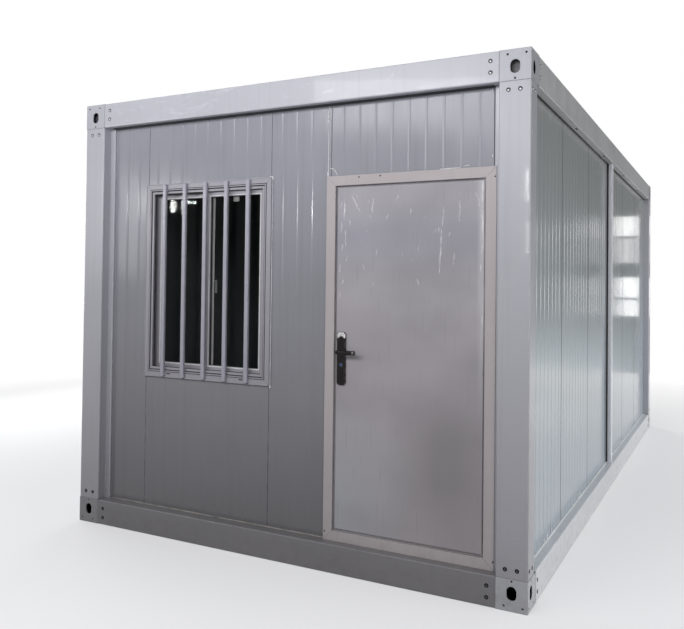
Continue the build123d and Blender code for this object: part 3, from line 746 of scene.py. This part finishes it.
def rim(form, low, high, y, inset, width, near, far, bevel):
    """A rectangular frame in the front wall, inset from two corners."""
    (x_low, x_high), (z_low, z_high) = [(low[a] + inset, high[a] - inset) for a in (0, 2)]
    y_span = (y + near, y + far)
    for x_span in ((x_low, x_low + width), (x_high - width, x_high)):
        slab(form, x_span, y_span, (z_low, z_high), bevel)
    for z_span in ((z_low, z_low + width), (z_high - width, z_high)):
        slab(form, (x_low + width, x_high - width), y_span, z_span, bevel)


def bead(form, start, end, radius, wobble=0.35, step=0.03):
    """An uneven bead of sealant between two points."""
    start, end = Vector(start), Vector(end)
    run = end - start
    count = max(4, int(run.length / step))
    turn = run.to_track_quat("Z", "Y").to_matrix()
    angles = [2 * math.pi * side / bead_sides for side in range(bead_sides)]
    rings = []
    for number in range(count + 1):
        middle = start + run * number / count
        swell = 1 + wobble * noise.noise(middle * 9) + wobble * 0.5 * noise.noise(middle * 31)
        size = radius * swell * (bead_taper if number in (0, count) else 1)
        around = [turn @ Vector((math.cos(a), math.sin(a), 0)) * size for a in angles]
        rings.append([form.verts.new(middle + offset) for offset in around])
    closed_skin(form, rings)


def ribbon(form, path, widths, normal, proud):
    """A thin raised line along a path, with a crest between two feet and a point at each end."""
    normal = Vector(normal)
    across = (path[-1] - path[0]).cross(normal).normalized()
    rings = [[form.verts.new(path[0])]]
    for point, width in zip(path[1:-1], widths):
        side = across * width / 2
        places = (point - side, point + normal * proud, point + side)
        rings.append([form.verts.new(place) for place in places])
    rings.append([form.verts.new(path[-1])])
    skin(form, rings)


def line_strip(form, start, end, width, normal, proud):
    """A fine raised strip between two points on a face."""
    start, end, normal = Vector(start), Vector(end), Vector(normal)
    across = (end - start).cross(normal).normalized() * width / 2
    corners = [start - across, start + across, end + across, end - across]
    rings = [[form.verts.new(point + normal * rise) for point in corners] for rise in (-proud, proud)]
    closed_skin(form, rings)


def end_place(sign_x, sign_y, offset, z):
    """A place on the front or rear of the frame, and its normal."""
    return Vector((sign_x * (half_width - offset), sign_y * half_length, z)), Vector((0, sign_y, 0))


def flank_place(sign_x, sign_y, offset, z):
    """A place on a long side of the frame, and its normal."""
    return Vector((sign_x * half_width, sign_y * (half_length - offset), z)), Vector((sign_x, 0, 0))


def both_levels(rise):
    """A rise above the ground, and the same below the top."""
    return rise, house_height - rise


def stretch(sign, face, depths):
    """The span between two depths behind a face, on one side."""
    return sorted(sign * (face - depth) for depth in depths)


def corner_slabs(form, x_face, x_depths, y_face, y_depths, z_span):
    """The same slab at all four corners, between depths behind two faces."""
    for sign_x, sign_y in corner_signs:
        slab(form, stretch(sign_x, x_face, x_depths), stretch(sign_y, y_face, y_depths), z_span)


def frame_bolt_places():
    """Where bolts hold the posts and beams to the fittings."""
    places = []
    for signs in corner_signs:
        for z in both_levels(wall_bottom + bolt_from_joint):
            places += [end_place(*signs, offset, z) for offset in front_post_bolts]
            places += [flank_place(*signs, offset, z) for offset in side_post_bolts]
        for rise in beam_bolt_rises:
            for z in both_levels(rise):
                places += [end_place(*signs, front_beam_bolt, z), flank_place(*signs, side_beam_bolt, z)]
    return places


def build_frame_bolts():
    """Sunk bolts: a dark dished ring, painted shade of the hole, with a domed head in it."""
    recesses, heads = bmesh.new(), bmesh.new()
    for place, normal in frame_bolt_places():
        lathe(recesses, facing(place, normal), recess_profile, segments=20, radius=bolt_radius)
        sunk = place - Vector((0, 0, bolt_drop))
        lathe(heads, facing(sunk, normal), head_profile, fine_sides, bolt_head_radius)
    add_piece("frame_bolt_recesses", recesses, "bolt_recess")
    add_piece("frame_bolt_heads", heads, "frame_bolt_steel")


def build_fitting_liners():
    """Plates behind the fittings' slots: grey at the upper ends as painted light, dark at the sides as
    painted shade.
    """
    ends, sides = bmesh.new(), bmesh.new()
    for z in both_levels(wall_bottom / 2):
        z_span = (z - liner_half_height, z + liner_half_height)
        corner_slabs(sides, half_width, side_liner_depths, half_length, side_liner_insets, z_span)
    corner_slabs(ends, half_width, end_liner_insets, half_length, end_liner_depths, z_span)
    add_piece("fitting_liners", ends, "lit_liner_grey")
    add_piece("fitting_side_liners", sides, "bolt_recess")


def build_frame_seams():
    """The fine joints of the fittings with the posts and beams."""
    form = bmesh.new()
    for signs in corner_signs:
        for place_on, width in ((end_place, corner_width), (flank_place, fitting_depth)):
            runs = [((seam_end, z), (width, z)) for z in (wall_bottom, wall_top)]
            runs.append(((width, seam_inset), (width, wall_bottom)))
            runs.append(((width, wall_top), (width, house_height - seam_inset)))
            for first, last in runs:
                start, normal = place_on(*signs, *first)
                end, normal = place_on(*signs, *last)
                line_strip(form, start, end, seam_width, normal, seam_proud)
    add_piece("frame_seams", form, "seam_shadow")


def build_wall_sealant():
    """Sealant along the foot of every wall, greyed along the front as painted shade, with a few runs on the
    right.
    """
    form, front = bmesh.new(), bmesh.new()
    foot = wall_bottom + bead_rise
    front_bead_y = front_wall_y - bead_lift
    bead(front, (-lip_end, front_bead_y, foot), (door_low.x, front_bead_y, foot), bead_radius)
    bead(form, (-lip_end, -front_bead_y, foot), (lip_end, -front_bead_y, foot), bead_radius)
    for side in (-1, 1):
        x = side * (side_wall_x + bead_lift)
        for y_start, y_end in ((-wall_end_y, -mid_post_half), (mid_post_half, wall_end_y)):
            bead(form, (x, y_start, foot), (x, y_end, foot), bead_radius)
    for y, length in drip_places:
        start = (side_wall_x + thin_lift, y, foot + length * drip_share)
        end = (side_wall_x + bead_lift, y + drip_lean, foot - bead_lift)
        bead(form, start, end, drip_radius, 0.5, 0.01)
    add_piece("wall_foot_sealant", form, "white_sealant")
    add_piece("front_foot_sealant", front, "shaded_front_sealant")


def smear(form, corner_x, corner_z, run, wobble, step):
    """A smear of sealant beside a corner in the front wall."""
    ends = [(corner_x + x, front_wall_y - bead_lift, corner_z + z) for x, z in (run[:2], run[2:4])]
    bead(form, *ends, run[4], wobble, step)


def build_opening_sealant():
    """Thin sealant at the window, and up the joint over the door."""
    form = bmesh.new()
    y = front_wall_y - thin_lift
    left, right = window_low.x, window_high.x
    bottom, top = window_low.z, window_high.z
    door_top = door_high.z
    bead(form, (right, y, bottom), (right, y, top), 0.0028)
    bead(form, (left, y, top), (right, y, top), 0.0026, 0.8)
    for run in window_smears:
        smear(form, right, top, run, 0.5, 0.004)
    smear(form, right, bottom, sill_smear, 0.5, 0.004)
    joint = door_low.x - 0.001
    bead(form, (joint, y, door_top), (joint, y, wall_top), 0.0022, 0.6)
    for z, length in ((wall_top - 0.03, 0.05), (wall_top - 0.08, 0.03), (door_top + 0.03, 0.04)):
        smear(form, joint, z, (-0.001, 0, 0, -length, 0.0045), 0.6, 0.008)
    for run in door_smears:
        smear(form, 0, door_top, run, 0.7, 0.008)
    add_piece("opening_sealant", form, "white_sealant")


def build_top_gaskets():
    """Dark seals between the walls and the top beams."""
    form = bmesh.new()
    z_span = (wall_top - gasket_drop, wall_top + seal_sink)
    for sign in (-1, 1):
        slab(form, (-lip_end, lip_end), stretch(sign, half_length, front_gasket_depths), z_span)
    depths = (-seal_sink, -side_gasket_width)
    corner_slabs(form, side_wall_x, depths, wall_end_y, (0, wall_end_y - mid_post_half), z_span)
    add_piece("top_gaskets", form, "seal_rubber")


def build_wall_joints():
    """Joint lines of the long walls, and seals beside the mid posts."""
    lines, seals = bmesh.new(), bmesh.new()
    z_span = (wall_bottom + joint_rise, wall_top - gasket_drop)
    for side in (-1, 1):
        for y in side_joints:
            start, end = [(side * side_wall_x, y, z) for z in z_span]
            line_strip(lines, start, end, joint_line_width, (side, 0, 0), seam_proud)
    depths = (seal_sink, -post_seal_proud)
    corner_slabs(seals, side_wall_x, depths, mid_post_half, (0, -post_seal_width), z_span)
    add_piece("wall_joint_lines", lines, "joint_shadow")
    add_piece("mid_post_seals", seals, "seal_rubber")


def build_drain_slots():
    """Drain slots under the side beams and in the window frame, as dark shapes: painted shade of the slots.
    """
    form = bmesh.new()
    middle_x = (side_wall_x + half_width) / 2 + drain_offset
    for side in (-1, 1):
        for number in range(drain_count):
            y = front_y + drain_first + number * drain_pitch
            matrix = facing((side * middle_x, y, wall_top), (0, 0, -1)) @ quarter_turn
            obround(form, matrix, *drain_size)
    for share in window_drain_shares:
        x = window_low.x + share * (window_high.x - window_low.x)
        place = (x, window_low.y, window_low.z + window_drain_rise)
        obround(form, facing(place, forwards), *window_drain_size)
    add_piece("drain_slots", form, "bolt_recess")


def mitre_line(form, start, end):
    """The fine joint between two members of a frame."""
    line_strip(form, start, end, mitre_width, forwards, mitre_proud)


def frame_mitres(form, low, high, width):
    """Mitre joints across the corners of a frame's face."""
    for z, inner_z in ((high.z, high.z - width), (low.z, low.z + width)):
        for x, inner_x in ((low.x, low.x + width), (high.x, high.x - width)):
            mitre_line(form, (x, low.y, z), (inner_x, low.y, inner_z))


def sash_joints(form, low, high, meets_right):
    """A sash's joints, mitred outside and butted at the meeting stile."""
    outer_x, meeting_x = (low.x, high.x) if meets_right else (high.x, low.x)
    inwards = 1 if meets_right else -1
    for z, inner_z in ((high.z, high.z - sash_member), (low.z, low.z + sash_member)):
        mitre_line(form, (outer_x, low.y, z), (outer_x + inwards * sash_member, low.y, inner_z))
        x = meeting_x - inwards * meeting_stile
        mitre_line(form, (x, low.y, z), (x, low.y, inner_z))


def build_window_details():
    """The window's mitres, beads, seals, interlock, stop and bar screws."""
    lines, beads, seals, screws, stop, interlock, glazing = [bmesh.new() for number in range(7)]
    window = (window_low, window_high)
    frame_mitres(lines, *window, window_face_width)
    for form, rims in ((beads, profile_rims), (seals, seal_rims)):
        for sizes in rims:
            rim(form, *window, window_low.y, *sizes)
    for side in ("left", "right"):
        low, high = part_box("window_sash_" + side)
        sash_joints(lines, low, high, side == "left")
        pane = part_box("window_glass_" + side)
        rim(glazing, *pane, low.y, *glazing_rim)
        rim(seals, *pane, pane[0].y, *outer_seal_rim)
        rim(seals, *pane, pane[1].y, *inner_seal_rim)
    left_low, left_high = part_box("window_sash_left")
    for near, reach in interlock_ribs:
        x_span = (left_high.x - edge_break, left_high.x + reach)
        y_span = (left_low.y + near, left_low.y + near + interlock_thickness)
        slab(interlock, x_span, y_span, (left_low.z + interlock_inset, left_high.z - interlock_inset))
    sash_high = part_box("window_sash_right")[1]
    y_span = (sash_high.y - seal_sink, sash_high.y + stop_proud)
    slab(stop, stop_x_span, y_span, [sash_high.z - sash_member + rise for rise in stop_rises], stop_bevel)
    bars_low, bars_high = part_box("window_security_bars")
    pitch = (bars_high.x - bars_low.x - bar_width) / (bar_count - 1)
    for number in range(bar_count):
        x = bars_low.x + bar_width / 2 + number * pitch
        for z in (bars_low.z + bar_screw_inset, bars_high.z - bar_screw_inset):
            place = facing((x, bars_low.y, z), forwards)
            lathe(screws, place, screw_profile, fine_sides, radius=0.005)
    add_piece("window_mitres", lines, "seam_shadow")
    add_piece("window_profile_beads", beads, "window_profile")
    add_piece("glazing_beads", glazing, "glazing_bead")
    add_piece("glazing_seals", seals, "seal_rubber")
    add_piece("bar_screws", screws, "bar_paint")
    add_piece("sash_stop", stop, "latch_plastic")
    add_piece("sash_interlock", interlock, "latch_plastic")


def build_door_details():
    """The door frame's mitres, screws and seal."""
    low, high = door_low, door_high
    lines, screws, seal = bmesh.new(), bmesh.new(), bmesh.new()
    frame_mitres(lines, low, high, door_face_width)
    for x, z in door_screws:
        lathe(screws, facing((x, low.y, z), forwards), screw_profile, fine_sides, radius=0.0045)
    rim(seal, low, high, low.y + door_seal_depth, *door_seal_rim)
    add_piece("door_frame_mitres", lines, "seam_shadow")
    add_piece("door_frame_screws", screws, "bolt_recess")
    add_piece("door_seal", seal, "door_seal_rubber")


def build_scratches():
    """Bright scratches on the outer face of the leaf, their near-white partly a painted glint."""
    form = bmesh.new()
    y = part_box("door_leaf")[0].y
    for x, z, length, lean in scratches:
        run = Vector((math.sin(lean), 0, math.cos(lean)))
        broad = scratch_width * min(1.0, 0.45 + length / 0.2)
        for aside, along, reach_share, width_share in scratch_marks:
            reach, width = reach_share * length, width_share * broad
            middle = Vector((x + aside, y, z)) + run * along * length
            count = max(4, round(reach / scratch_step))
            path = [middle + run * reach * (number / count - 0.5) for number in range(count + 1)]
            for point in path:
                point.x += scratch_stray * noise.noise(point * 45)
            widths = [width * (0.9 + 1.1 * noise.noise(point * 70)) for point in path[1:-1]]
            ribbon(form, path, widths, forwards, scratch_proud)
    add_piece("door_scratches", form, "scratch_and_glint", "door")


def build_handle_details():
    """Fields, caps and roses of the handle plates, and the lever's grips."""
    plates_low, plates_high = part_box("door_handle_plates")
    lever_low, lever_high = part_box("door_lever")
    lock_low, lock_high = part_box("door_lock")
    middle_x = (plates_low.x + plates_high.x) / 2
    field_z = (plates_low.z + plates_high.z - field_drop) / 2
    lever_z = (lever_low.z + lever_high.z) / 2
    lock_z = (lock_low.z + lock_high.z) / 2
    half_wide = (plates_high.x - plates_low.x) / 2 - plate_margin
    half_high = (plates_high.z - plates_low.z - field_drop) / 2 - plate_margin
    cap_z = plates_high.z - cap_half - cap_inset
    fields, roses, keyholes, caps, chrome, lock_caps, grips = [bmesh.new() for number in range(7)]
    for y, out, lock_y in ((plates_low.y, -1, lock_low.y), (plates_high.y, 1, lock_high.y)):
        normal = (0, out, 0)
        clipped_panel(fields, facing((middle_x, y, field_z), normal), half_wide, half_high, field_rise)
        cap_place = facing((middle_x, y, cap_z), normal)
        clipped_panel(chrome, cap_place, half_wide + cap_spread, cap_half, cap_rise)
        lathe(roses, facing((middle_x, y, lever_z), normal), rose_profile, rose_sides)
        lathe(roses, facing((middle_x, y, lock_z), normal), lock_ring, ring_sides)
        lathe(roses, facing((middle_x, y, lever_z + pin_rise), normal), pin_profile, fine_sides)
        lathe(lock_caps, facing((middle_x, lock_y, lock_z), normal), lock_cap, ring_sides)
        keyhole = facing((middle_x, lock_y + out * keyhole_proud, lock_z), normal) @ quarter_turn
        obround(keyholes, keyhole, *keyhole_size)
    for y, out in ((lever_low.y, -1), (lever_high.y, 1)):
        tip = facing((lever_high.x, y - out * grip_depth, lever_z), (1, 0, 0))
        flat = tip @ Matrix.Diagonal((grip_flatness, 1.0, 1.0, 1.0))
        lathe(grips, flat, grip_profile, ring_sides, grip_radius)
        lathe(caps, flat, tip_profile, ring_sides, grip_radius)
    add_piece("handle_plate_fields", fields, "handle_bronze", "door")
    add_piece("handle_plate_chrome", chrome, "plate_chrome", "door")
    add_piece("handle_roses", roses, "handle_bronze", "door")
    add_piece("lock_caps", lock_caps, "lock_cap_blue", "door")
    # Keyholes as dark shapes: painted shade of the holes.
    add_piece("keyholes", keyholes, "bolt_recess", "door")
    add_piece("lever_end_caps", caps, "lever_tip_steel", "lever")
    add_piece("lever_grips", grips, "handle_bronze", "lever")


def build_hinge_screws():
    """Screws through the hinge plates."""
    form = bmesh.new()
    low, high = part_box("door_leaf_hinges")
    x = low.x + hinge_plate_middle
    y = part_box("door_leaf")[1].y + hinge_plate_proud
    first, last = low.z + hinge_height / 2, high.z - hinge_height / 2
    for middle in (first, (first + last) / 2, last):
        for rise in hinge_screw_rises:
            place = facing((x, y, middle + rise), (0, 1, 0))
            lathe(form, place, screw_profile, fine_sides, radius=0.0042)
    add_piece("hinge_screws", form, "bolt_zinc", "door")


def build_roof_details():
    """Roof screws with washers, and the gutters' outlets."""
    screws, outlets = bmesh.new(), bmesh.new()
    roof_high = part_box("roof_sheet")[1]
    reach = int((roof_high.y - roof_end) / roof_rib_pitch)
    for number in range(-reach, reach + 1):
        for x in roof_screw_rows:
            place = facing((x, number * roof_rib_pitch, roof_high.z), upwards)
            lathe(screws, place, washer_profile, fine_sides)
    outlet_y = half_length - fitting_depth - outlet_from_fitting
    for sign_x, sign_y in corner_signs:
        place = (sign_x * (half_width - outlet_inset), sign_y * outlet_y, gutter_floor)
        lathe(outlets, facing(place, upwards), outlet_profile, rose_sides, outlet_radius)
    add_piece("roof_screws", screws, "bolt_zinc")
    add_piece("gutter_outlets", outlets, "outlet_plastic")


def floor_pale():
    """A pale floor, which the camera and gloss see nearly white."""
    look = Look("floor_pale", (110, 110, 112), Roughness=0.9)
    seen = seen_rays(look.tree)
    look.over(seen, (246, 246, 248))
    look.set(Base_Color=look.colour)
    reach = look.node("VectorMath", {0: look.place}, operation="LENGTH").outputs["Value"]
    share = look.times(seen, look.band(reach, 3.5, 8.0, 0.35, 1.0))
    glow = look.node("Emission", {"Color": (1, 1, 1, 1), "Strength": 1.0}).outputs["Emission"]
    mixed = look.node("MixShader", {0: share, 1: look.shader.outputs["BSDF"], 2: glow}).outputs["Shader"]
    look.tree.links.new(mixed, look.output.inputs["Surface"])


def build_floor():
    """A plain pale floor that keeps the cabin's shadow."""
    form = bmesh.new()
    bmesh.ops.create_grid(form, x_segments=1, y_segments=1, size=60.0)
    floor_pale()
    floor = add_object("floor", form, "floor_pale")


def glowing_flag():
    """A grey glow of its own, paler towards the floor."""
    look = Look("glowing_flag", (92, 95, 94), Base_Color=(0, 0, 0, 1), Roughness=0.9, Emission_Strength=1.0)
    look.over(look.noise(0.6, 2.0), (106, 109, 107))
    foot = look.mix(look.band(look.along("X"), 2.2, 2.9), tint(146, 151, 151), tint(226, 232, 236))
    look.set(Emission_Color=look.mix(look.band(look.along("Z"), 1.3, 0.0), look.colour, foot))


def build_flag():
    """A grey flag behind the cabin, hidden from the camera."""
    form = bmesh.new()
    slab(form, x_span=(1.6, 9.6), y_span=(8.9, 8.95), z_span=(0, 7.0), bevel=0.01)
    glowing_flag()
    flag = add_object("flag", form, "glowing_flag")
    flag.visible_camera = False


def build_world():
    """Soft light all round, and a white backdrop."""
    world = bpy.data.worlds.new("studio")
    bpy.context.scene.world = world
    world.use_nodes = True
    tree = world.node_tree
    tree.nodes.clear()
    light = add_node(tree, "Background", {"Color": (0.92, 0.95, 1, 1), "Strength": 0.22})
    backdrop = add_node(tree, "Background", {"Color": (1, 1, 1, 1), "Strength": 1.0})
    both = {0: seen_rays(tree), 1: light.outputs["Background"], 2: backdrop.outputs["Background"]}
    mixed = add_node(tree, "MixShader", both)
    add_node(tree, "OutputWorld", {"Surface": mixed.outputs["Shader"]})


def area_light(name, place, target, size, power, in_gloss):
    """A soft box that points at a target."""
    light = bpy.data.lights.new(name, "AREA")
    light.shape = "RECTANGLE"
    light.size, light.size_y = size
    light.energy = power
    lamp = bpy.data.objects.new(name, light)
    lamp.location = place
    lamp.rotation_euler = (Vector(target) - Vector(place)).to_track_quat("-Z", "Y").to_euler()
    lamp.visible_camera = False
    lamp.visible_glossy = in_gloss
    bpy.context.scene.collection.objects.link(lamp)


def build_lamps():
    """The soft boxes, and the lit windows that the right wall shows."""
    for lamp in lamps:
        area_light(*lamp)
    for low_z, high_z, glow in window_rows:
        for middle_x, width, share in window_columns:
            place = Vector((middle_x, window_wall_y, (low_z + high_z) / 2))
            power = math.pi * glow * share * width * (high_z - low_z)
            area_light("window", place, place + Vector(forwards), (width, high_z - low_z), power, True)
    area_light(*back_lamp)


def build_camera():
    """The photograph's camera."""
    ahead = Vector((math.sin(camera_yaw), math.cos(camera_yaw), 0)) * math.cos(camera_pitch)
    ahead.z = math.sin(camera_pitch)
    level = Vector((math.cos(camera_yaw), -math.sin(camera_yaw), 0))
    upright = level.cross(ahead)
    right = level * math.cos(camera_roll) + upright * math.sin(camera_roll)
    up = upright * math.cos(camera_roll) - level * math.sin(camera_roll)
    data = bpy.data.cameras.new("camera")
    data.sensor_width = sensor_width
    data.lens = focal_pixels / image_width * sensor_width
    data.shift_x = (image_width / 2 - principal_x) / image_width
    data.shift_y = (principal_y - image_height / 2) / image_width
    data.clip_end = 200.0
    camera = bpy.data.objects.new("camera", data)
    turn = Matrix((right, up, -ahead)).transposed().to_4x4()
    camera.matrix_world = Matrix.Translation(camera_place) @ turn
    bpy.context.scene.collection.objects.link(camera)
    bpy.context.scene.camera = camera


build_frame_bolts()
build_fitting_liners()
build_frame_seams()
build_wall_sealant()
build_opening_sealant()
build_top_gaskets()
build_wall_joints()
build_drain_slots()
build_window_details()
build_door_details()
build_scratches()
build_handle_details()
build_hinge_screws()
build_roof_details()
build_floor()
build_flag()
build_world()
build_lamps()
build_camera()
bpy.context.scene.view_settings.view_transform = "Standard"
